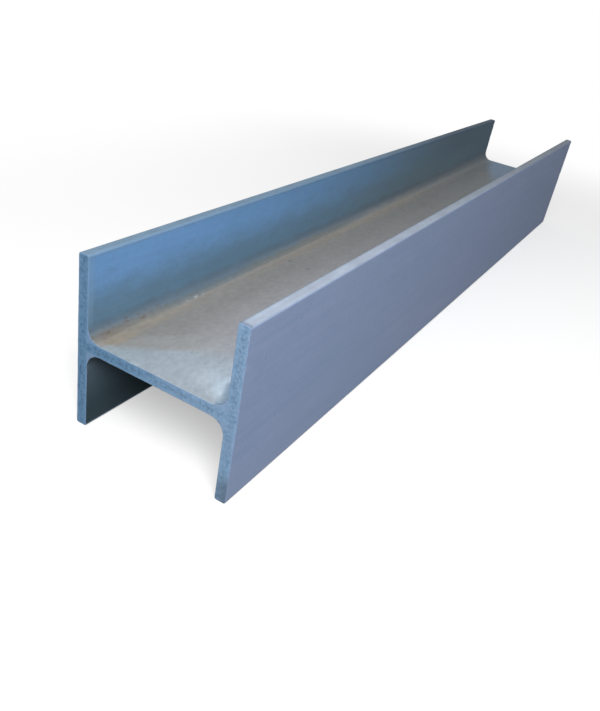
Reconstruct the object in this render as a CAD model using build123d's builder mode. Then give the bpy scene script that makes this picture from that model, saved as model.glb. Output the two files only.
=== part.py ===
"""Pultruded fibreglass I-beam, 150 x 150 x 10 wide-flange section, one sawn length.

The beam lies on the tips of its flanges, so the web is level and the two flanges stand up.
+Z is up, +Y runs along the length from the near end to the far end, and +X goes across the web.
The origin is on the ground, under the middle of the beam.
All sizes are in millimetres.
"""

import os

from build123d import *

# Driving dimensions
flange_width = 150.0  # tip to tip of one flange, which is the height of the beam as it lies
section_depth = 150.0  # outer face to outer face of the two flanges
flange_thickness = 10.0
web_thickness = 10.0
root_radius = 13.0  # where the web runs into a flange
tip_radius = 2.0  # on the long edges of the flanges
beam_length = 1000.0  # between the two sawn ends

# Worked out from the driving dimensions
web_height = flange_width / 2
clear_depth = section_depth - 2 * flange_thickness
flange_offset = (section_depth - flange_thickness) / 2

# The section is drawn on the far end, with X across the web and Y up, and is drawn out to the near end.
far_end = Plane.XZ.offset(-beam_length / 2)

with BuildPart() as beam:
    with BuildSketch(far_end) as section:
        with Locations((0, web_height)):
            Rectangle(clear_depth, web_thickness)
            with Locations((-flange_offset, 0), (flange_offset, 0)):
                Rectangle(flange_thickness, flange_width)
        # Of the four rows of corners from the ground up, the middle two are the roots
        corner_rows = section.vertices().group_by(Axis.Y)
        fillet(corner_rows[1] + corner_rows[2], root_radius)
        corner_rows = section.vertices().group_by(Axis.Y)
        fillet(corner_rows[0] + corner_rows[-1], tip_radius)
    extrude(amount=beam_length)

beam.part.label = "i_beam"
os.makedirs("parts", exist_ok=True)
export_step(beam.part, "parts/i_beam.step")
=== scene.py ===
"""A sawn length of pultruded fibreglass I-beam, lying on its flange tips.

The beam is one moulding, so it is one piece here too. It is drawn as a square-cornered H, pushed out to
length, rounded at its roots and tips, and then given the small unevenness of a real moulding and saw cut.
Metres throughout, +Z up, +Y along the beam from the near end to the far end.
"""

import math

import bmesh
import bpy
from bpy.props import FloatProperty, FloatVectorProperty, IntProperty, PointerProperty
from mathutils import Euler, Matrix, Vector, noise


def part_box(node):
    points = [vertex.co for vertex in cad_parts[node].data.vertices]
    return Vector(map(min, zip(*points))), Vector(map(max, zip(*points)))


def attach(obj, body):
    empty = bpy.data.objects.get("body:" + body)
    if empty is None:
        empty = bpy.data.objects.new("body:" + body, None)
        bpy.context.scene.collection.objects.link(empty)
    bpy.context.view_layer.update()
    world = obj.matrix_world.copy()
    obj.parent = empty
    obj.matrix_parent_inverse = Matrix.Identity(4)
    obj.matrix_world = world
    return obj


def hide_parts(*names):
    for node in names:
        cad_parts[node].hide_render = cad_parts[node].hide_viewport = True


bl_info = {
    "name": "Fibreglass I-beam",
    "version": (1, 0, 0),
    "blender": (4, 5, 0),
    "location": "View3D > Sidebar > I-beam",
    "description": "Builds a sawn length of pultruded fibreglass I-beam and a plain stage to see it on",
    "category": "Object",
}

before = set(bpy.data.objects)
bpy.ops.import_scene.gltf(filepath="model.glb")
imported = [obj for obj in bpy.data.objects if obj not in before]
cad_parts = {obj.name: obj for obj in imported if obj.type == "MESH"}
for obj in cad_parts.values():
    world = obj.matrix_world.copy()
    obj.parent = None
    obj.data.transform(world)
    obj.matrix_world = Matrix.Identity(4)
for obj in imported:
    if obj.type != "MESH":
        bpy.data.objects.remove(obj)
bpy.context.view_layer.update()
beam_low, beam_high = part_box("i_beam")

WHITE = (1.0, 1.0, 1.0, 1.0)

# A Mix node's colour sockets, which come after its sockets for numbers and vectors
MIX_A = 6
MIX_B = 7
MIX_RESULT = 2


def length(name, text, value):
    """A property that is a length in metres."""
    return FloatProperty(name=name, description=text, default=value, unit="LENGTH", subtype="DISTANCE")


def colour(name, text, value):
    """A property that is a linear colour."""
    return FloatVectorProperty(
        name=name,
        description=text,
        default=value,
        size=3,
        min=0.0,
        max=1.0,
        subtype="COLOR",
    )


def standpoint(name, text, value):
    """A property that is a place in metres."""
    return FloatVectorProperty(
        name=name,
        description=text,
        default=value,
        size=3,
        unit="LENGTH",
        subtype="TRANSLATION",
    )


def angle(name, text, degrees):
    """A property that is an angle, given in degrees and kept in radians."""
    return FloatProperty(name=name, description=text, default=math.radians(degrees), subtype="ANGLE")


class BeamSizes(bpy.types.PropertyGroup):
    """The section, the length and the fineness of the beam."""

    depth: length("Depth", "Outer face to outer face of the two flanges", beam_high.x - beam_low.x)
    flange_width: length("Flange width", "Tip to tip of one flange", beam_high.z - beam_low.z)
    beam_length: length("Length", "Between the two sawn ends", beam_high.y - beam_low.y)
    flange_thickness: length("Flange thickness", "Wall of each flange", 0.010)
    web_thickness: length("Web thickness", "Wall of the web", 0.010)
    root_radius: length("Root radius", "Fillet where the web runs into a flange", 0.013)
    tip_radius: length("Tip radius", "Rounding of the long edges of the flanges", 0.002)
    cut_edge: length("Cut edge", "Bevel that the saw leaves round each end", 0.0003)
    cell: length("Cell", "Width of the mesh's cells across the section", 0.0013)
    rows: IntProperty(name="Rows", description="Cuts across the length of the mesh", default=84, min=2)
    moulding_wave: length("Moulding wave", "Depth of the long shallow waves in the moulded faces", 0.00015)
    saw_wave: length("Saw wave", "Depth of the unevenness of the sawn faces", 0.00030)
    chip: length("Chip", "Deepest chip along the arrises of the cuts", 0.0009)


class BeamFinish(bpy.types.PropertyGroup):
    """The colours of the moulded skin and of the sawn ends."""

    skin: colour("Skin", "Pigmented resin of the moulded faces", (0.160, 0.335, 0.610))
    weathered: colour("Weathered", "Outer faces, chalked by the weather", (0.320, 0.390, 0.585))
    # Painted shade on the inner faces: towards the roots, towards the far end, under the web, and darkest
    # near the ground.
    painted_shade: colour("Film", "Grey film towards the roots", (0.122, 0.228, 0.332))
    far_painted_shade: colour("Far film", "Film towards the far end", (0.122, 0.184, 0.228))
    end_painted_shade: colour("End film", "Film over the last stretch of the far end", (0.082, 0.140, 0.192))
    # A paler strip of the inner faces beside the near cut.
    pale_strip: colour("Bared", "Resin that the saw has cleaned beside the near cut", (0.222, 0.355, 0.500))
    under_web_painted_shade: colour("Under film", "Film under the web", (0.084, 0.124, 0.160))
    low_painted_shade: colour("Low film", "Darker film near the ground", (0.034, 0.062, 0.080))
    # Tip colours: a painted highlight pales the right tips, and painted shade darkens both towards the far
    # end.
    left_tip: colour("Left tip", "Dusty tips of the left flange", (0.138, 0.220, 0.310))
    far_left_tip_shade: colour("Far left tip", "Tips of the left flange at the far end", (0.043, 0.072, 0.107))
    right_tip_highlight: colour("Right tip", "Rubbed tips of the right flange", (0.312, 0.365, 0.455))
    far_right_tip_shade: colour("Far right tip", "Tips of the right flange at the far end", (0.186, 0.222, 0.268))
    sawn_tip: colour("Sawn tip", "Tip of the right flange just beside the near cut", (0.162, 0.204, 0.281))
    # Painted highlight along the inner rounding of the tips, darkening towards the far end as painted shade.
    tip_highlight: colour("Rim", "Blue line along the rounding of the tips", (0.150, 0.250, 0.380))
    far_rim: colour("Far rim", "The same line towards the far end", (0.035, 0.072, 0.131))
    # Web colours: dust with a painted warm light in its tone, paler on the right as painted light, darker far
    # off as painted shade.
    dust_and_warm_light: colour("Dust", "Dry dust on the web", (0.205, 0.202, 0.194))
    pale_dust_lit: colour("Pale dust", "Dust on the right of the web", (0.262, 0.264, 0.280))
    far_dust_shade: colour("Far dust", "Dust towards the far end", (0.146, 0.158, 0.164))
    far_corner_shade: colour("Far corner", "Dust in the far corner of the web", (0.122, 0.142, 0.158))
    # Painted reflection on the web at the far end.
    sheen: colour("Sheen", "Bare resin at the far end of the web", (0.155, 0.220, 0.300))
    # Tan dirt with a painted warm reflection along the roots.
    tan: colour("Tan", "Tan dirt along the roots", (0.238, 0.210, 0.168))
    # Painted shade in the root fillets, darker towards the far end.
    root: colour("Root", "Dirt settled in the root fillets", (0.102, 0.152, 0.202))
    far_root_shade: colour("Far root", "Dirt in the root fillets towards the far end", (0.094, 0.120, 0.142))
    line: colour("Line", "Dirt where the dust runs out on the left root", (0.090, 0.095, 0.078))
    brown: colour("Brown", "Brown specks in the roots", (0.110, 0.085, 0.065))
    # Painted light in the wedge beside the near cut, brightest as a painted highlight by the right root, with
    # painted glints.
    painted_light: colour("Sawdust", "Sawdust beside the near cut, on the left", (0.238, 0.290, 0.326))
    painted_light_right: colour("Thick sawdust", "Sawdust beside the near cut, on the right", (0.276, 0.318, 0.360))
    painted_light_corner: colour("Heaped sawdust", "Sawdust in the corner by the near cut", (0.430, 0.505, 0.580))
    painted_highlight_crest: colour("Bright sawdust", "Crest of the sawdust by the right root", (0.610, 0.750, 0.870))
    glint_fleck: colour("Fleck", "Pale flecks in the sawdust", (0.750, 0.810, 0.860))
    # Fainter painted light past the wedge, paler on the right.
    painted_penumbra: colour("Thin sawdust", "Scattered sawdust on the left", (0.252, 0.262, 0.260))
    pale_painted_penumbra: colour("Pale thin sawdust", "Scattered sawdust on the right", (0.345, 0.375, 0.400))
    # Painted light in the right root near the cut, less right beside the cut.
    root_light: colour("Haze", "Fine sawdust in the right root near the cut", (0.262, 0.362, 0.468))
    cut_root_light: colour("Cut haze", "Right root just beside the cut", (0.150, 0.230, 0.320))
    stain: colour("Stain", "Soft dark spots on the web", (0.090, 0.092, 0.092))
    # Painted glint beside the left root.
    glint_streak: colour("Scrape", "Scrape on the web beside the left root", (0.450, 0.460, 0.470))
    speck: colour("Speck", "Fine dark specks in the skin", (0.050, 0.070, 0.090))
    core: colour("Core", "Sawn laminate on the left", (0.116, 0.236, 0.388))
    pale_core: colour("Pale core", "Sawn laminate on the right", (0.200, 0.330, 0.500))
    roving: colour("Roving", "Dark ends of the glass bundles in the core", (0.040, 0.105, 0.205))
    glass: colour("Glass", "Pale ends of the glass bundles in the core", (0.330, 0.450, 0.600))
    # Painted shadow on the right flange's end near the ground.
    right_leg_shadow: colour("Grime", "Grime on the right flange's end near the ground", (0.070, 0.100, 0.135))
    veil: colour("Veil", "Resin-rich layer just under the skin, as cut", (0.235, 0.330, 0.500))


class StageSettings(bpy.types.PropertyGroup):
    """The camera that repeats the photograph's view, and the studio round the beam."""

    camera_azimuth: angle("Azimuth", "Camera's turn round the beam", 25.32)
    camera_elevation: angle("Elevation", "How far the camera looks down", 29.56)
    camera_roll: angle("Roll", "Tilt of the picture", 10.94)
    camera_lens: FloatProperty(
        name="Lens",
        description="Focal length in millimetres",
        default=35.94,
        min=1.0,
        subtype="DISTANCE_CAMERA",
    )
    camera_sensor: FloatProperty(
        name="Sensor",
        description="Width of the sensor in millimetres",
        default=36.0,
        min=1.0,
        subtype="DISTANCE_CAMERA",
    )
    camera_place: standpoint("Camera place", "Where the camera stands", (0.2757, -0.8454, 0.3626))
    key_place: standpoint("Key place", "Where the soft box stands", (0.60, -1.40, 1.35))
    key_size: length("Key size", "Side of the square soft box", 1.1)
    key_aim: length("Key aim", "How far in from the near cut the soft box aims", 0.10)
    key_power: FloatProperty(
        name="Key power",
        description="Power of the soft box in watts",
        default=42.0,
        min=0.0,
        subtype="POWER",
    )
    floor_reach: length("Floor reach", "From the middle of the floor to its edge", 12.0)
    white_from: length("White from", "Where the floor begins to turn white, out from the beam", 0.10)
    white_past: length("White past", "Where the floor is white, out from the beam", 0.70)
    white_beside: FloatProperty(
        name="White beside",
        description="Share of white in the floor just beside the beam",
        default=0.42,
        min=0.0,
        max=1.0,
    )
    floor_colour: colour("Floor", "Pale floor", (0.92, 0.92, 0.92))
    floor_return: colour("Floor return", "Light that the floor gives back to the beam", (0.10, 0.10, 0.10))
    sky_low: colour("Sky low", "Light from the level of the floor", (0.13, 0.13, 0.13))
    sky_high: colour("Sky high", "Light from overhead", (0.50, 0.50, 0.50))
    mirrored_white: FloatProperty(
        name="Mirrored white",
        description="Share of the white background that the beam's satin faces mirror",
        default=0.10,
        min=0.0,
        max=1.0,
    )


class Wire:
    """One output in a material. Sums, differences, products and quotients of wires add Math nodes."""

    def __init__(self, graph, socket):
        self.graph = graph
        self.socket = socket

    def math(self, operation, *values):
        """This wire and the values through a Math node."""
        return self.graph.math(operation, self, *values)

    def __add__(self, other):
        return self.math("ADD", other)

    def __sub__(self, other):
        return self.math("SUBTRACT", other)

    def __rsub__(self, other):
        return self.graph.math("SUBTRACT", other, self)

    def __mul__(self, other):
        return self.math("MULTIPLY", other)

    def __truediv__(self, other):
        return self.math("DIVIDE", other)

    def __abs__(self):
        return self.math("ABSOLUTE")

    __radd__ = __add__
    __rmul__ = __mul__


class Graph:
    """The nodes of one material or world."""

    def __init__(self, owner):
        owner.use_nodes = True
        self.tree = owner.node_tree
        self.tree.nodes.clear()

    def node(self, kind, settings, inputs, output=0):
        """A node with its settings, and then its inputs as values or wires. Returns its output, if any."""
        made = self.tree.nodes.new(kind)
        for name, value in settings.items():
            setattr(made, name, value)
        for key, value in inputs.items():
            if isinstance(value, Wire):
                self.tree.links.new(value.socket, made.inputs[key])
            else:
                made.inputs[key].default_value = value
        return Wire(self, made.outputs[output]) if made.outputs else None

    def math(self, operation, *values):
        """The numbers or wires through a Math node."""
        return self.node("ShaderNodeMath", {"operation": operation}, dict(enumerate(values)))

    def least(self, a, b):
        return self.math("MINIMUM", a, b)

    def most(self, a, b):
        return self.math("MAXIMUM", a, b)

    def ramp(self, value, start, end):
        """0 at start and below, 1 at end and beyond, smooth between. start may be the larger."""
        return self.node(
            "ShaderNodeMapRange",
            {"interpolation_type": "SMOOTHSTEP"},
            {"Value": value, "From Min": start, "From Max": end, "To Min": 0.0, "To Max": 1.0},
        )

    def hump(self, value, middle, half_width, soft):
        """1 within the half width of the middle, and 0 past the soft edge."""
        return self.ramp(abs(value - middle), half_width + soft, half_width)

    def mix(self, factor, a, b):
        """Colour a at factor 0 and colour b at factor 1."""
        return self.node(
            "ShaderNodeMix",
            {"data_type": "RGBA"},
            {"Factor": factor, MIX_A: solid(a), MIX_B: solid(b)},
            output=MIX_RESULT,
        )

    def shade(self, factor, base, darkest, palest):
        """The base colour times darkest at factor 0 and times palest at factor 1."""
        tone = self.mix(factor, (darkest,) * 3, (palest,) * 3)
        return self.node(
            "ShaderNodeMix",
            {"data_type": "RGBA", "blend_type": "MULTIPLY"},
            {"Factor": 1.0, MIX_A: solid(base), MIX_B: tone},
            output=MIX_RESULT,
        )

    def position(self):
        """The place on the object, as a vector wire and as x, y and z."""
        place = self.node("ShaderNodeTexCoord", {}, {}, output="Object")
        x, y, z = (self.node("ShaderNodeSeparateXYZ", {}, {0: place}, output=axis) for axis in "XYZ")
        return place, x, y, z

    def stretched(self, place, lengths, turn=(0.0, 0.0, 0.0)):
        """The place as a pattern sees it that is turned, and as many times longer as the lengths say."""
        return self.node(
            "ShaderNodeMapping",
            {"vector_type": "TEXTURE"},
            {"Vector": place, "Rotation": turn, "Scale": lengths},
        )

    def noise(self, place, scale, detail=3.0, roughness=0.55):
        """Noise from 0 to 1, with about so many blobs to the metre as the scale says."""
        return self.node(
            "ShaderNodeTexNoise",
            {},
            {"Vector": place, "Scale": scale, "Detail": detail, "Roughness": roughness},
        )

    def cells(self, place, scale):
        """Distance to the nearest of many scattered points."""
        return self.node("ShaderNodeTexVoronoi", {"feature": "F1"}, {"Vector": place, "Scale": scale})

    def surface(self, base, roughness, bump, strength, distance, **fixed):
        """A Principled surface with a bump, and the material's output. What is fixed is a plain number."""
        normal = self.node("ShaderNodeBump", {}, {"Strength": strength, "Distance": distance, "Height": bump})
        inputs = {"Base Color": base, "Roughness": roughness, "Normal": normal}
        inputs.update({name.replace("_", " "): value for name, value in fixed.items()})
        shader = self.node("ShaderNodeBsdfPrincipled", {}, inputs)
        self.node("ShaderNodeOutputMaterial", {}, {"Surface": shader})


def solid(value):
    """A colour of three numbers with an alpha of 1. A wire stays as it is."""
    return value if isinstance(value, Wire) else (*value, 1.0)


def new_material(name):
    """An empty material, and its graph to fill."""
    material = bpy.data.materials.new(name)
    return material, Graph(material)


class Spots:
    """Where a point is on the beam: wires in metres, and masks from 0 to 1."""

    def __init__(self, graph, sizes):
        half_depth = sizes.depth / 2
        half_width = sizes.flange_width / 2
        inner_face = half_depth - sizes.flange_thickness
        self.place, self.x, self.y, self.z = graph.position()
        side = abs(self.x)  # out from the middle of the web
        self.from_cut = self.y + sizes.beam_length / 2  # in from the near end
        self.from_middle = abs(self.z - half_width)  # up or down from the middle of the web
        self.from_tip = half_width - self.from_middle  # in from the nearest tip
        self.rise = self.z - half_width - sizes.web_thickness / 2  # above the web
        self.in_flange = side - inner_face  # out past the inner face of a flange
        self.past_foot = self.in_flange + sizes.root_radius  # out past the foot of a root fillet

        self.between = graph.ramp(self.in_flange, 0.0020, 0.0006)
        self.upper = graph.ramp(self.rise, -0.004, -0.001)
        self.trough = self.between * self.upper
        self.on_web = graph.ramp(self.rise, 0.0090, 0.0010) * self.trough
        self.outside = graph.ramp(side, half_depth - 0.0020, half_depth - 0.0006)
        self.tip = graph.ramp(self.from_tip, 0.0017, 0.0004)
        self.far = graph.ramp(self.y, -0.44, 0.30)
        self.right = graph.ramp(self.x, -0.03, 0.03)
        self.left = 1 - self.right

    def past_line(self, x, from_cut, degrees):
        """How far a point is past a line on the web through a place, measured along the given direction."""
        turn = math.radians(degrees)
        return (self.x - x) * math.cos(turn) + (self.from_cut - from_cut) * math.sin(turn)


class Grain:
    """The patterns of the moulded faces, from 0 to 1, most of them drawn out along the beam."""

    def __init__(self, graph, place):
        def drawn_out(times, scale, turn=0.0, **kind):
            """Noise that is so many times longer along the beam."""
            return graph.noise(graph.stretched(place, (1.0, times, 1.0), (0.0, 0.0, turn)), scale, **kind)

        self.streaks = drawn_out(30.0, 190.0)
        self.clouds = drawn_out(2.5, 16.0)
        self.blotches = drawn_out(2.2, 75.0, detail=4.0, roughness=0.62)
        self.grit = drawn_out(1.7, 260.0, roughness=0.60)
        self.crumbs = drawn_out(2.2, 380.0)
        self.scuffs = drawn_out(6.0, 260.0, turn=0.7, detail=4.0, roughness=0.65)
        self.veil = graph.noise(place, 900.0, detail=2.0)
        self.specks = graph.ramp(graph.cells(place, 110.0), 0.11, 0.07)


def wander(pattern, reach):
    """A pattern as a shift to either side, over the reach in metres."""
    return (pattern - 0.5) * reach


def either(a, b):
    """Covers where one mask or the other does."""
    return a + b - a * b


# The layers of the moulded skin, each of which returns the base colour with itself laid over it
def coat_of_painted_shade(graph, at, grain, finish, base):
    """Painted shade greys and darkens the inner faces, more towards the roots and the far end, and most under
    the web.
    """
    ragged_height = at.z + wander(grain.blotches, 0.024)
    low = graph.ramp(ragged_height, 0.139, 0.098)
    painted_shade = graph.mix(graph.ramp(at.y, -0.25, 0.20), finish.painted_shade, finish.far_painted_shade)
    far_top = graph.ramp(at.z, 0.100, 0.135) * graph.ramp(at.y, 0.12, 0.36)
    last_stretch = graph.ramp(at.y, 0.30, 0.47)
    painted_shade = graph.mix(either(far_top, last_stretch), painted_shade, finish.end_painted_shade)
    under = graph.mix(graph.ramp(at.z, 0.058, 0.012), finish.under_web_painted_shade, finish.low_painted_shade)
    below_web = graph.ramp(at.z, 0.074, 0.064)
    painted_shade = graph.mix(below_web, painted_shade, under)
    return graph.mix(either(at.far, low) * at.between, base, painted_shade)


def pale_beside_cut(graph, at, grain, finish, base):
    """A narrow strip of the inner faces beside the near cut is paler, lifting the painted shade there."""
    strongest = 0.32
    strip = graph.ramp(at.from_cut, 0.0080, 0.0030) * at.trough
    return graph.mix(strip * strongest, base, finish.pale_strip)


def weather_outside(graph, at, grain, finish, base):
    """The outer faces are chalked, in faint streaks along the beam."""
    chalk = 0.42 + grain.streaks * 0.45 + grain.clouds * 0.35
    return graph.mix(at.outside * chalk, base, finish.weathered)


def light_and_shade_tips(graph, at, grain, finish, base):
    """The tips of the left flange are duller, and those of the right one paler as a painted highlight; both
    darken towards the far end as painted shade.
    """
    # The left tips' colour, darkening towards the far end as painted shade
    dusty = graph.mix(graph.ramp(at.y, -0.12, 0.32), finish.left_tip, finish.far_left_tip_shade)
    right_highlight = graph.mix(graph.ramp(at.y, -0.45, 0.28), finish.right_tip_highlight, finish.far_right_tip_shade)
    tip_tone = graph.shade(grain.blotches, graph.mix(at.right, dusty, right_highlight), 0.78, 1.22)
    beside_cut = graph.ramp(at.from_cut, 0.0050, 0.0010)
    tip_tone = graph.mix(at.right * beside_cut, tip_tone, finish.sawn_tip)
    return graph.mix(at.tip, base, graph.shade(grain.streaks, tip_tone, 0.92, 1.08))


def highlight_tip_edges(graph, at, grain, finish, base):
    """A painted highlight shows as a blue line along the inner rounding of each tip.

    It fades a little along the left flange, grows clearer along the right one, and darkens towards the far
    end as painted shade.
    """
    tip_highlight = graph.hump(at.from_tip, 0.0012, 0.0006, 0.0012) * graph.ramp(at.in_flange, 0.0030, 0.0018)
    left_share = 0.8 - at.far * 0.2
    right_share = 0.4 + at.far * 0.5
    share = left_share * at.left + right_share * at.right
    return graph.mix(tip_highlight * share, base, graph.mix(at.far, finish.tip_highlight, finish.far_rim))


def shade_roots(graph, at, grain, finish, base):
    """Painted shade darkens the root fillets, more towards the far end."""
    shift = wander(grain.blotches, 0.005)
    across = graph.ramp(at.past_foot + shift, 0.0030, 0.0095)
    below_top = graph.ramp(at.rise + shift, 0.0155, 0.0080)
    # The root fillets' painted shade
    root = graph.mix(graph.ramp(at.y, -0.30, 0.20), finish.root, finish.far_root_shade)
    return graph.mix(across * below_top * at.trough, base, root)


def dust_and_light_web(graph, at, grain, finish, base):
    """Dust lies on the web with a painted warm light in its tone; it is paler to the right as painted light,
    darker towards the far end and in the far corner as painted shade, and runs out up the root fillets. At
    the far end a painted reflection shows as a bluish sheen past a slanting line.
    """
    swept = graph.ramp(at.from_cut, 0.045, 0.015) * (0.0010 + at.right * 0.0050)
    edge = at.past_foot + wander(grain.blotches, 0.005) + swept
    lying = graph.ramp(edge, 0.0094, 0.0028) * at.trough
    paler = graph.ramp(at.x, -0.036, 0.006) * (1 - graph.ramp(at.y, -0.36, -0.05) * 0.5)
    shaded_far = graph.ramp(at.y, -0.42, 0.46) * 0.90
    dust_and_warm_light = graph.mix(shaded_far, graph.mix(paler, finish.dust_and_warm_light, finish.pale_dust_lit), finish.far_dust_shade)
    dust_and_warm_light = graph.mix(graph.ramp(at.y, 0.37, 0.45), dust_and_warm_light, finish.far_corner_shade)
    # A painted reflection, as a bluish sheen past a slanting line at the far end
    past_reflection = at.past_line(-0.045, 0.945, 18.1) + wander(grain.blotches, 0.004)
    reflected = graph.ramp(past_reflection, -0.003, 0.016) * graph.ramp(at.y, 0.30, 0.42)
    dust_and_warm_light = graph.mix(reflected, dust_and_warm_light, finish.sheen)
    dust_and_warm_light = graph.shade(grain.clouds, graph.shade(grain.blotches, dust_and_warm_light, 0.91, 1.09), 0.93, 1.07)
    return graph.mix(lying, base, dust_and_warm_light)


def near_cut(graph, at):
    """1 beside the near cut, and 0 from 150 mm in."""
    return graph.ramp(at.from_cut, 0.150, 0.015)


def tan_and_reflection_beside_roots(graph, at, grain, finish, base):
    """Tan dirt and a painted warm reflection lie beside the roots, in patches near the cut and as a thin veil
    along the left root.
    """
    band = graph.hump(at.past_foot + wander(grain.blotches, 0.008), 0.0020, 0.0040, 0.0065) * at.trough
    thinnest = 0.10
    patches = near_cut(graph, at) * (0.40 + graph.ramp(grain.blotches, 0.30, 0.62) * 0.35)
    veil = graph.hump(at.y, -0.06, 0.14, 0.14) * at.left * 0.28
    share = thinnest + patches + veil
    return graph.mix(band * share, base, graph.shade(grain.streaks, finish.tan, 0.85, 1.15))


def line_left_root(graph, at, grain, finish, base):
    """A thin line of dirt follows the left root, and is browner beside the cut."""
    line = graph.hump(at.past_foot + wander(grain.blotches, 0.003), 0.0070, 0.0012, 0.0024) * at.trough
    cleaner_at_cut = 0.4 + graph.ramp(at.from_cut, 0.004, 0.012) * 0.6
    beside_cut = graph.ramp(at.from_cut, 0.050, 0.020) * cleaner_at_cut
    darkest_stretch = graph.hump(at.y, -0.20, 0.05, 0.09)
    fading = 1 - graph.ramp(at.y, -0.09, -0.02) * 0.7
    usual_share = 0.34
    share = fading * (usual_share + beside_cut * 0.14 + darkest_stretch * 0.12)
    return graph.mix(line * share * at.left, base, graph.mix(beside_cut, finish.line, finish.brown))


def crumbs_in_roots(graph, at, grain, finish, base):
    """Brown crumbs lie in the roots, thickest near the cut."""
    band = graph.hump(at.past_foot, 0.0092, 0.0012, 0.0028) * at.trough
    crumbs = graph.ramp(grain.crumbs, 0.55, 0.66)
    share = 0.15 + near_cut(graph, at) * 0.60
    return graph.mix(crumbs * band * share, base, finish.brown)


def paint_penumbra(graph, at, grain, finish, base):
    """A fainter painted light, the soft edge of the wedge's light, lies on the web further in than the wedge,
    with scuffs in its tone.
    """
    strongest = 0.55
    past_edge = at.past_line(-0.036, 0.046, -41.85) + wander(grain.blotches, 0.010)
    penumbra = graph.ramp(past_edge, -0.002, 0.006) * graph.ramp(at.from_cut, 0.140, 0.070)
    off_root = graph.ramp(at.x, -0.049, -0.038)
    tone = graph.mix(graph.ramp(at.x, -0.010, 0.020), finish.painted_penumbra, finish.pale_painted_penumbra)
    tone = graph.shade(grain.scuffs, tone, 0.90, 1.10)
    return graph.mix(penumbra * off_root * at.on_web * strongest, base, tone)


def paint_light_wedge(graph, at, grain, finish, base):
    """A painted pool of light lies on the web beside the near cut in a wedge, wider and brighter on the
    right, with a painted highlight by the right root and pale painted glints.
    """
    tone = graph.mix(graph.ramp(at.x, -0.045, 0.012), finish.painted_light, finish.painted_light_right)
    inward = at.from_cut + wander(grain.blotches, 0.010) + graph.ramp(at.x, 0.040, 0.050) * 0.004
    lit_corner = graph.ramp(at.x, 0.012, 0.042) * graph.ramp(inward, 0.005, 0.032)
    tone = graph.mix(lit_corner, tone, finish.painted_light_corner)
    highlight_crest = lit_corner * graph.hump(at.x, 0.0465, 0.0015, 0.0070)
    tone = graph.mix(highlight_crest * 0.74, tone, finish.painted_highlight_crest)
    tone = graph.shade(grain.scuffs, graph.shade(grain.blotches, tone, 0.93, 1.07), 0.86, 1.12)
    glints = graph.ramp(grain.scuffs, 0.58, 0.66) * graph.ramp(at.x, 0.036, 0.054)
    tone = graph.mix(glints * graph.ramp(at.from_cut, 0.050, 0.015), tone, finish.glint_fleck)
    past_edge = at.past_line(-0.055, 0.003, -49.9) + wander(grain.blotches, 0.010)
    wedge = graph.ramp(past_edge, -0.004, 0.008) * graph.ramp(at.from_cut, 0.095, 0.040)
    off_root = graph.ramp(at.x, 0.0585, 0.0530)
    return graph.mix(wedge * off_root * at.on_web, base, tone)


def light_right_root(graph, at, grain, finish, base):
    """Painted light pales the right root near the cut, but not right beside the cut."""
    strongest = 0.88
    widened = at.x + graph.ramp(at.from_cut, 0.008, 0.030) * 0.008
    root_light = graph.ramp(widened, 0.0505, 0.0560) * graph.ramp(at.from_cut, 0.055, 0.025) * at.trough
    tone = graph.mix(graph.ramp(at.from_cut, 0.0015, 0.0060), finish.cut_root_light, finish.root_light)
    return graph.mix(root_light * strongest, base, tone)


def stain_web(graph, at, grain, finish, base):
    """Two soft dark spots lie on the web, longer along the beam than across it."""
    narrowing = 0.55
    strongest = 0.42
    for spot_x, spot_y in ((-0.0460, -0.2330), (-0.0235, -0.2360)):
        across = (at.x - spot_x) / narrowing
        along = at.y - spot_y
        away = (across * across + along * along).math("SQRT") + wander(grain.blotches, 0.003)
        spot = graph.ramp(away, 0.0058, 0.0018) * at.trough
        base = graph.mix(spot * strongest, base, finish.stain)
    return base


def glint_on_web(graph, at, grain, finish, base):
    """A broken painted glint runs beside the left root."""
    strongest = 0.50
    glint_streak = graph.hump(at.x, -0.0568, 0.0004, 0.0014) * graph.hump(at.y, -0.3800, 0.0060, 0.0110)
    broken = graph.ramp(grain.scuffs, 0.46, 0.60)
    return graph.mix(glint_streak * broken * at.trough * strongest, base, finish.glint_streak)


def mottle_skin(graph, at, grain, finish, base):
    """Streaks, blotches, grit and fine dark specks vary every colour a little, most of all on the web."""
    base = graph.shade(grain.blotches, graph.shade(grain.streaks, base, 0.94, 1.06), 0.95, 1.05)
    base = graph.mix(at.upper, base, graph.shade(grain.grit, base, 0.93, 1.07))
    gritty = graph.ramp(at.rise, 0.0060, 0.0005) * at.trough
    base = graph.mix(gritty, base, graph.shade(grain.grit, base, 0.88, 1.12))
    base = graph.shade(grain.veil, base, 0.91, 1.09)
    speck_share = 0.22
    return graph.mix(grain.specks * speck_share, base, finish.speck)


SKIN_LAYERS = (
    coat_of_painted_shade,
    pale_beside_cut,
    weather_outside,
    light_and_shade_tips,
    highlight_tip_edges,
    shade_roots,
    dust_and_light_web,
    tan_and_reflection_beside_roots,
    line_left_root,
    crumbs_in_roots,
    paint_penumbra,
    paint_light_wedge,
    light_right_root,
    stain_web,
    glint_on_web,
    mottle_skin,
)


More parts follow.
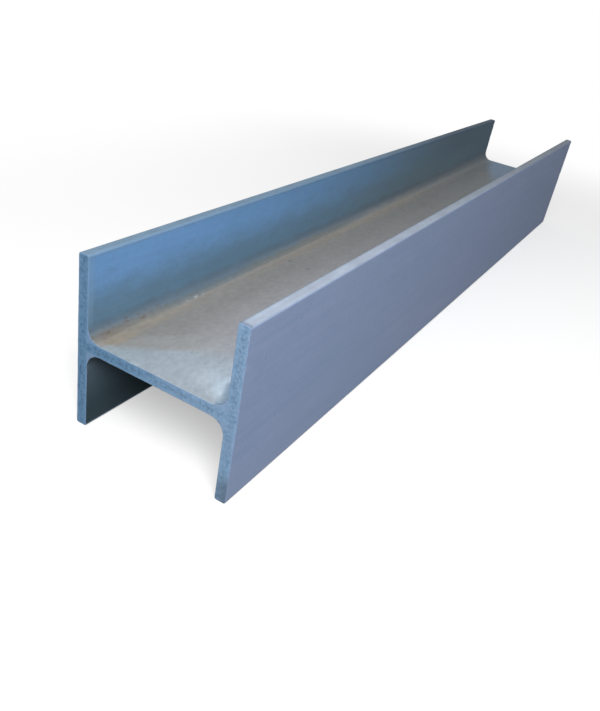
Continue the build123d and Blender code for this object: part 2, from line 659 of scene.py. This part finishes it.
def moulded_skin(sizes, finish):
    """The pigmented resin of the moulded faces. Dust, dirt and wear lie on it, and painted light, shade,
    highlights and reflections are laid over it.
    """
    material, graph = new_material("moulded_skin")
    at = Spots(graph, sizes)
    grain = Grain(graph, at.place)
    base = graph.shade(grain.clouds, finish.skin, 0.88, 1.12)
    for layer in SKIN_LAYERS:
        base = layer(graph, at, grain, finish, base)

    dusty = graph.ramp(at.rise, 0.0100, 0.0020) * at.trough
    roughness = 0.33 + dusty * 0.10 + grain.clouds * 0.10 + grain.specks * 0.1
    bump = grain.streaks * 0.5 + grain.veil * 0.25 + grain.scuffs * dusty * 0.3
    graph.surface(base, roughness, bump, strength=0.30, distance=0.0004, Specular_IOR_Level=0.30)
    return material


def depth_in_wall(graph, at, sizes):
    """How deep a point of the cut lies under the nearest moulded face."""
    half_wall = sizes.flange_thickness / 2
    in_web = sizes.web_thickness / 2 - at.from_middle
    in_flange = half_wall - abs(at.in_flange - half_wall)
    return graph.most(in_web, graph.least(in_flange, at.from_tip))


def score_left_leg(graph, at, clouds, finish, base):
    """A faint dark score runs down the end of the lower left leg, leaning a little."""
    strongest = 0.45
    middle_x = -0.0722
    middle_z = 0.0460
    lean = (at.z - middle_z) * 0.10
    score = graph.hump(at.x - lean + wander(clouds, 0.004), middle_x, 0.0003, 0.0008)
    stretch = graph.hump(at.z, middle_z, 0.0110, 0.0030)
    return graph.mix(score * stretch * strongest, base, finish.roving)


def shadow_right_leg(graph, at, patches, finish, base):
    """A painted shadow darkens the end of the lower right leg near the ground, most at its outer edge."""
    right_leg_shadow = graph.ramp(at.z + wander(patches, 0.008), 0.030, 0.014) * at.right
    share = 0.42 + graph.ramp(at.x, 0.069, 0.073) * 0.20
    return graph.mix(right_leg_shadow * share, base, finish.right_leg_shadow)


def sawn_laminate(sizes, finish):
    """The cut wall: a paler veil layer at the surfaces, and dark and pale ends of glass bundles inside."""
    material, graph = new_material("sawn_laminate")
    at = Spots(graph, sizes)
    depth_in = depth_in_wall(graph, at, sizes)
    mottle = graph.noise(at.place, 330.0, detail=4.0, roughness=0.68)
    clouds = graph.noise(at.place, 60.0)
    patches = graph.noise(at.place, 170.0, roughness=0.60)
    bundles = graph.noise(graph.stretched(at.place, (1.0, 5.0, 1.4)), 480.0, detail=2.0)

    base = graph.mix(graph.ramp(at.x, -0.045, 0.045), finish.core, finish.pale_core)
    base = graph.shade(mottle, base, 0.68, 1.34)
    base = graph.shade(graph.ramp(depth_in + wander(clouds, 0.003), 0.0018, 0.0042), base, 1.00, 0.93)
    dark = graph.ramp(bundles, 0.50, 0.64) * graph.ramp(depth_in, 0.0010, 0.0030)
    pale = graph.ramp(bundles, 0.46, 0.34)
    soiled = graph.ramp(patches, 0.52, 0.68)
    veil = graph.ramp(depth_in, 0.0012, 0.0004)
    base = graph.mix(dark * (0.50 - at.right * 0.22), base, finish.roving)
    base = graph.mix(pale * (0.10 + at.right * 0.22), base, finish.glass)
    base = graph.mix(soiled * (0.42 - at.right * 0.16), base, finish.roving)
    base = graph.mix(veil * 0.45, base, finish.veil)
    base = score_left_leg(graph, at, clouds, finish, base)
    base = shadow_right_leg(graph, at, patches, finish, base)

    saw_marks = graph.noise(graph.stretched(at.place, (9.0, 1.0, 1.0), (0.0, 0.5, 0.0)), 900.0, detail=2.0)
    bump = mottle * 0.5 + saw_marks * 0.4 - dark * 0.4
    graph.surface(base, 0.62, bump, strength=0.45, distance=0.0006)
    return material


def edges_where(mesh, test):
    """The edges whose two ends both pass the test."""
    return [edge for edge in mesh.edges if all(test(vert.co) for vert in edge.verts)]


def verts_in(made):
    """The vertices among what an extrusion made."""
    return [part for part in made["geom"] if isinstance(part, bmesh.types.BMVert)]


def push_edge(mesh, test, step):
    """Extrudes the one edge whose ends pass the test, and moves the new edge by the step."""
    made = bmesh.ops.extrude_edge_only(mesh, edges=edges_where(mesh, test))
    bmesh.ops.translate(mesh, verts=verts_in(made), vec=step)


def square_section(mesh, sizes):
    """The H with square corners, as one face at the near end: web, then junctions, then the four legs."""
    middle = sizes.flange_width / 2
    half_web = sizes.web_thickness / 2
    half_clear = sizes.depth / 2 - sizes.flange_thickness
    leg = middle - half_web
    close = sizes.tip_radius / 10
    upright = Matrix.Rotation(math.radians(90), 4, "X")
    shape = Matrix.Diagonal((2 * half_clear, sizes.web_thickness, 1.0, 1.0))
    place = Matrix.Translation((0.0, -sizes.beam_length / 2, middle)) @ upright @ shape
    bmesh.ops.create_grid(mesh, x_segments=1, y_segments=1, size=0.5, matrix=place)
    for side in (-1, 1):
        push_edge(
            mesh,
            lambda co: abs(co.x - side * half_clear) < close,
            (side * sizes.flange_thickness, 0.0, 0.0),
        )
        for rise in (-1, 1):
            push_edge(
                mesh,
                lambda co: co.x * side > half_clear - close and abs(co.z - middle - rise * half_web) < close,
                (0.0, 0.0, rise * leg),
            )
    bmesh.ops.dissolve_limit(mesh, angle_limit=math.radians(1), verts=mesh.verts[:], edges=mesh.edges[:])


def push_out(mesh, sizes):
    """Extrudes the section to the far end and turns its faces outwards."""
    made = bmesh.ops.extrude_face_region(mesh, geom=mesh.faces[:])
    bmesh.ops.translate(mesh, verts=verts_in(made), vec=(0.0, sizes.beam_length, 0.0))
    bmesh.ops.recalc_face_normals(mesh, faces=mesh.faces[:])


def round_edges(mesh, edges, radius, segments):
    """Rounds the edges to the radius, in so many flat strips."""
    bmesh.ops.bevel(
        mesh,
        geom=edges,
        offset=radius,
        offset_type="OFFSET",
        affect="EDGES",
        segments=segments,
        profile=0.5,
        material=-1,
        clamp_overlap=False,
    )


def round_section(mesh, sizes):
    """Rounds the roots, the tips and the edges that the saw left."""
    middle = sizes.flange_width / 2
    close = sizes.tip_radius / 10
    along = [edge for edge in mesh.edges if edge.calc_length() > sizes.beam_length / 2]
    roots = [edge for edge in along if abs(edge.verts[0].co.z - middle) < middle - close]
    tips = [edge for edge in along if edge not in roots]
    round_edges(mesh, roots, sizes.root_radius, segments=10)
    round_edges(mesh, tips, sizes.tip_radius, segments=5)
    half = sizes.beam_length / 2
    near_rim = edges_where(mesh, lambda co: co.y < close - half)
    far_rim = edges_where(mesh, lambda co: co.y > half - close)
    round_edges(mesh, near_rim + far_rim, sizes.cut_edge, segments=2)


def cut_cells(mesh, sizes):
    """Cuts the section into small cells, and the length into rows."""
    touching = 1e-6
    across = Vector((1.0, 0.0, 0.0))
    up = Vector((0.0, 0.0, 1.0))
    for normal, low, high in ((across, beam_low.x, beam_high.x), (up, beam_low.z, beam_high.z)):
        count = round((high - low) / sizes.cell)
        for step in range(1, count):
            point = normal * (low + (high - low) * step / count)
            geom = mesh.verts[:] + mesh.edges[:] + mesh.faces[:]
            bmesh.ops.bisect_plane(mesh, geom=geom, dist=touching, plane_co=point, plane_no=normal)
    along = [edge for edge in mesh.edges if edge.calc_length() > sizes.beam_length / 2]
    bmesh.ops.subdivide_edges(mesh, edges=along, cuts=sizes.rows, use_grid_fill=True)


def crowd_rows(mesh, sizes):
    """Draws the rows together towards both ends, and leaves the bevels of the cuts as they are."""
    crowding = 0.93
    past_bevel = 1.01
    inner = sizes.beam_length / 2 - sizes.cut_edge * past_bevel
    for vert in mesh.verts:
        if abs(vert.co.y) < inner:
            share = vert.co.y / inner
            vert.co.y = inner * (share + crowding * math.sin(math.pi * share) / math.pi)


def unevenness(place, waves, seed):
    """Smooth noise from 0 to 1, with so many waves a metre along each axis."""
    swing = 0.7
    spot = Vector((place.x * waves[0] + seed, place.y * waves[1], place.z * waves[2]))
    return min(max(0.5 + swing * noise.noise(spot), 0.0), 1.0)


def saw_depth(place, end, sizes):
    """How deep the saw has bitten into an end, which is -1 for the near one and 1 for the far one."""
    fine_share = 0.3
    coarse = unevenness(place, waves=(70.0, 0.0, 110.0), seed=end * 11.0)
    fine = unevenness(place, waves=(330.0, 0.0, 260.0), seed=end * 17.0)
    return sizes.saw_wave * (coarse * (1 - fine_share) + fine * fine_share)


def chip_depth(place, end, sizes):
    """How deep the arris of an end is chipped, which is nothing along most of it."""
    whole_share = 0.72
    bite = unevenness(place, waves=(95.0, 0.0, 95.0), seed=end * 23.0)
    return sizes.chip * max(0.0, bite - whole_share) / (1 - whole_share)


def sink_surface(mesh, sizes):
    """Sinks the moulded faces in long shallow waves, the sawn faces in short ones, and chips the cut arrises.

    Everything moves into the material, so that the beam stays inside its own outline.
    """
    saw_reach = 0.006
    chip_reach = 0.0025
    chip_slope = 0.6  # metres that a chip sinks the sawn face for each metre that it sinks the moulded one
    least_lean = 0.3  # where the normal leans less than this off the beam's length, nothing is chipped
    mesh.normal_update()
    moves = []
    for vert in mesh.verts:
        end = math.copysign(1.0, vert.co.y)
        from_end = sizes.beam_length / 2 - abs(vert.co.y)
        across = Vector((vert.normal.x, 0.0, vert.normal.z))
        move = across * -sizes.moulding_wave * unevenness(vert.co, waves=(22.0, 6.0, 22.0), seed=3.0)
        if from_end < saw_reach:
            move.y -= end * saw_depth(vert.co, end, sizes) * (1 - from_end / saw_reach)
        if from_end < chip_reach and across.length > least_lean:
            depth = chip_depth(vert.co, end, sizes) * (1 - from_end / chip_reach)
            move -= across.normalized() * depth
            move.y -= end * depth * chip_slope
        moves.append(move)
    for vert, move in zip(mesh.verts, moves):
        vert.co += move


def mark_cuts(mesh):
    """Gives both cuts, and the half of each bevel that turns towards its cut, the second material."""
    sawn = 1
    for face in mesh.faces:
        if abs(face.normal.y) > 0.5:
            face.material_index = sawn


def finished_piece(mesh, name, materials):
    """A smooth-shaded object from the mesh, with sharp edges kept, at the origin."""
    sharp = math.radians(40)
    data = bpy.data.meshes.new(name)
    mesh.to_mesh(data)
    mesh.free()
    piece = bpy.data.objects.new(name, data)
    bpy.context.scene.collection.objects.link(piece)
    for material in materials:
        data.materials.append(material)
    data.shade_smooth()
    data.set_sharp_from_angle(angle=sharp)
    return piece


class OBJECT_OT_build_beam(bpy.types.Operator):
    """Builds the pultruded beam"""

    bl_idname = "object.build_fibreglass_beam"
    bl_label = "Beam"

    def execute(self, context):
        sizes = context.scene.beam_sizes
        finish = context.scene.beam_finish
        mesh = bmesh.new()
        square_section(mesh, sizes)
        push_out(mesh, sizes)
        round_section(mesh, sizes)
        cut_cells(mesh, sizes)
        crowd_rows(mesh, sizes)
        mark_cuts(mesh)
        sink_surface(mesh, sizes)
        if not mesh.faces:
            raise RuntimeError("the beam has no faces")
        materials = (moulded_skin(sizes, finish), sawn_laminate(sizes, finish))
        beam = finished_piece(mesh, "pultruded_beam", materials)
        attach(beam, "root")
        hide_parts("i_beam")
        return {"FINISHED"}


def soft_box(name, place, target, size, power):
    """A square area light at the place, facing the target."""
    data = bpy.data.lights.new(name, "AREA")
    data.shape = "SQUARE"
    data.size = size
    data.energy = power
    lamp = bpy.data.objects.new(name, data)
    lamp.location = place
    lamp.rotation_euler = (Vector(target) - Vector(place)).to_track_quat("-Z", "Y").to_euler()
    bpy.context.scene.collection.objects.link(lamp)


def backdrop_rays(graph, stage):
    """1 for the rays from the camera, straight or refracted, and less for those mirrored by the beam."""
    straight, refracted, mirrored = (
        graph.node("ShaderNodeLightPath", {}, {}, output=kind)
        for kind in ("Is Camera Ray", "Is Transmission Ray", "Is Glossy Ray")
    )
    return graph.most(graph.most(straight, refracted), mirrored * stage.mirrored_white)


def lay_floor(stage, sizes):
    """A wide pale floor under the tips, which takes the beam's shadow and turns white away from it."""
    mesh = bmesh.new()
    bmesh.ops.create_grid(mesh, x_segments=1, y_segments=1, size=stage.floor_reach)
    material, graph = new_material("pale_floor")
    x, y = graph.position()[1:3]
    aside = graph.most(abs(x) - sizes.depth / 2, 0.0)
    beyond = graph.most(abs(y) - sizes.beam_length / 2, 0.0)
    away = (aside * aside + beyond * beyond).math("SQRT")
    seen = backdrop_rays(graph, stage)
    tone = graph.mix(seen, stage.floor_return, stage.floor_colour)
    lit = graph.node("ShaderNodeBsdfDiffuse", {}, {"Color": tone})
    white = graph.node("ShaderNodeEmission", {}, {"Color": WHITE, "Strength": 1.0})
    whiter = graph.ramp(away, stage.white_from, stage.white_past)
    share = seen * (whiter * (1 - stage.white_beside) + stage.white_beside)
    shader = graph.node("ShaderNodeMixShader", {}, {0: share, 1: lit, 2: white})
    graph.node("ShaderNodeOutputMaterial", {}, {"Surface": shader})
    floor = finished_piece(mesh, "floor", (material,))


def set_world(stage):
    """A grey light from all round, stronger from above, with white behind the beam."""
    overhead = 0.8
    world = bpy.data.worlds.new("studio")
    bpy.context.scene.world = world
    graph = Graph(world)
    toward = graph.node("ShaderNodeTexCoord", {}, {}, output="Generated")
    height = graph.node("ShaderNodeSeparateXYZ", {}, {0: toward}, output="Z")
    tone = graph.mix(graph.ramp(height, 0.0, overhead), stage.sky_low, stage.sky_high)
    light = graph.node("ShaderNodeBackground", {}, {"Color": tone})
    white = graph.node("ShaderNodeBackground", {}, {"Color": WHITE})
    mixed = graph.node("ShaderNodeMixShader", {}, {0: backdrop_rays(graph, stage), 1: light, 2: white})
    graph.node("ShaderNodeOutputWorld", {}, {"Surface": mixed})


def aim_camera(stage):
    """The camera at the photograph's place, angle and framing."""
    data = bpy.data.cameras.new("photo_camera")
    data.lens = stage.camera_lens
    data.sensor_width = stage.camera_sensor
    camera = bpy.data.objects.new("photo_camera", data)
    turn = Euler((math.radians(90) - stage.camera_elevation, 0.0, stage.camera_azimuth))
    camera.matrix_world = (
        Matrix.Translation(stage.camera_place)
        @ turn.to_matrix().to_4x4()
        @ Matrix.Rotation(stage.camera_roll, 4, "Z")
    )
    bpy.context.scene.collection.objects.link(camera)
    bpy.context.scene.camera = camera


class SCENE_OT_build_stage(bpy.types.Operator):
    """Sets the floor, the light and the camera"""

    bl_idname = "scene.build_beam_stage"
    bl_label = "Stage"

    def execute(self, context):
        stage = context.scene.beam_stage
        aim = (0.0, beam_low.y + stage.key_aim, beam_high.z / 2)
        lay_floor(stage, context.scene.beam_sizes)
        set_world(stage)
        soft_box("key", stage.key_place, aim, stage.key_size, stage.key_power)
        aim_camera(stage)
        context.scene.view_settings.view_transform = "Standard"
        return {"FINISHED"}


class VIEW3D_PT_beam(bpy.types.Panel):
    """Lists the beam's sizes and colours, and the operators that build it"""

    bl_idname = "VIEW3D_PT_fibreglass_beam"
    bl_label = "Fibreglass I-beam"
    bl_space_type = "VIEW_3D"
    bl_region_type = "UI"
    bl_category = "I-beam"

    def draw(self, context):
        for group in (context.scene.beam_sizes, context.scene.beam_finish, context.scene.beam_stage):
            box = self.layout.box()
            for name in group.__annotations__:
                box.prop(group, name)
        self.layout.operator(OBJECT_OT_build_beam.bl_idname)
        self.layout.operator(SCENE_OT_build_stage.bl_idname)


CLASSES = (
    BeamSizes,
    BeamFinish,
    StageSettings,
    OBJECT_OT_build_beam,
    SCENE_OT_build_stage,
    VIEW3D_PT_beam,
)


def register():
    for cls in CLASSES:
        bpy.utils.register_class(cls)
    bpy.types.Scene.beam_sizes = PointerProperty(type=BeamSizes)
    bpy.types.Scene.beam_finish = PointerProperty(type=BeamFinish)
    bpy.types.Scene.beam_stage = PointerProperty(type=StageSettings)


def unregister():
    del bpy.types.Scene.beam_stage
    del bpy.types.Scene.beam_finish
    del bpy.types.Scene.beam_sizes
    for cls in reversed(CLASSES):
        bpy.utils.unregister_class(cls)


def main():
    register()
    bpy.ops.object.build_fibreglass_beam()
    bpy.ops.scene.build_beam_stage()


if __name__ == "__main__":
    main()
